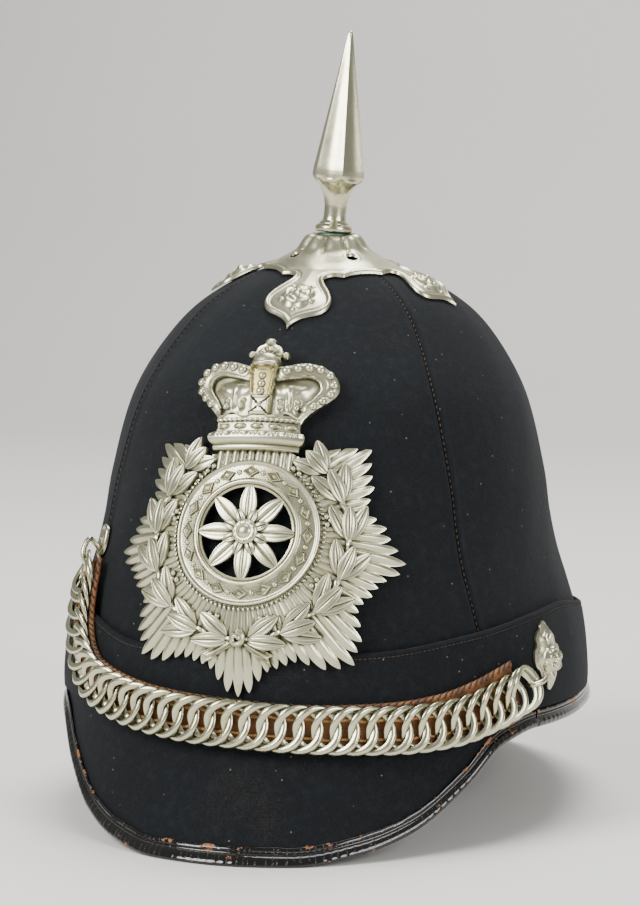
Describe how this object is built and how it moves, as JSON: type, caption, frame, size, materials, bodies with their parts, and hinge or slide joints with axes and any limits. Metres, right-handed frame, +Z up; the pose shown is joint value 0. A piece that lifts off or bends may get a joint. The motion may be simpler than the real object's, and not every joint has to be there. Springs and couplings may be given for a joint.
{
  "type": "home service helmet",
  "caption": "Tall cloth-covered helmet, open below for a head, with front and rear peaks, a metal spike, a star plate and a chin chain.",
  "frame": {"origin": "the middle of the helmet's footprint, on the surface that it stands on", "axes": "+Z up along the crown, -Y to the helmet's front, +X to the wearer's left"},
  "size_m": [0.204, 0.2862, 0.2992],
  "materials": {
    "cloth": "fulled blue-black wool cloth, slightly fuzzy",
    "patent_leather": "glossy black patent leather, cracked and worn",
    "white_metal": "satin nickel silver with a little yellow tarnish",
    "tan_leather": "matte tan leather, whip-stitched"
  },
  "bodies": {
    "root": {"crown_shell": "cloth", "cloth_band": "cloth", "front_peak": "cloth", "rear_peak": "cloth", "front_binding": "patent_leather", "rear_binding": "patent_leather", "crosspiece": "white_metal", "spike": "white_metal", "star_plate": "white_metal", "plate_circlet": "white_metal", "chin_chain_1": "white_metal", "chin_chain_2": "white_metal", "chin_chain_3": "white_metal", "chin_chain_4": "white_metal", "chain_strap": "tan_leather", "left_boss": "white_metal", "right_hook": "white_metal"}
  },
  "joints": []
}
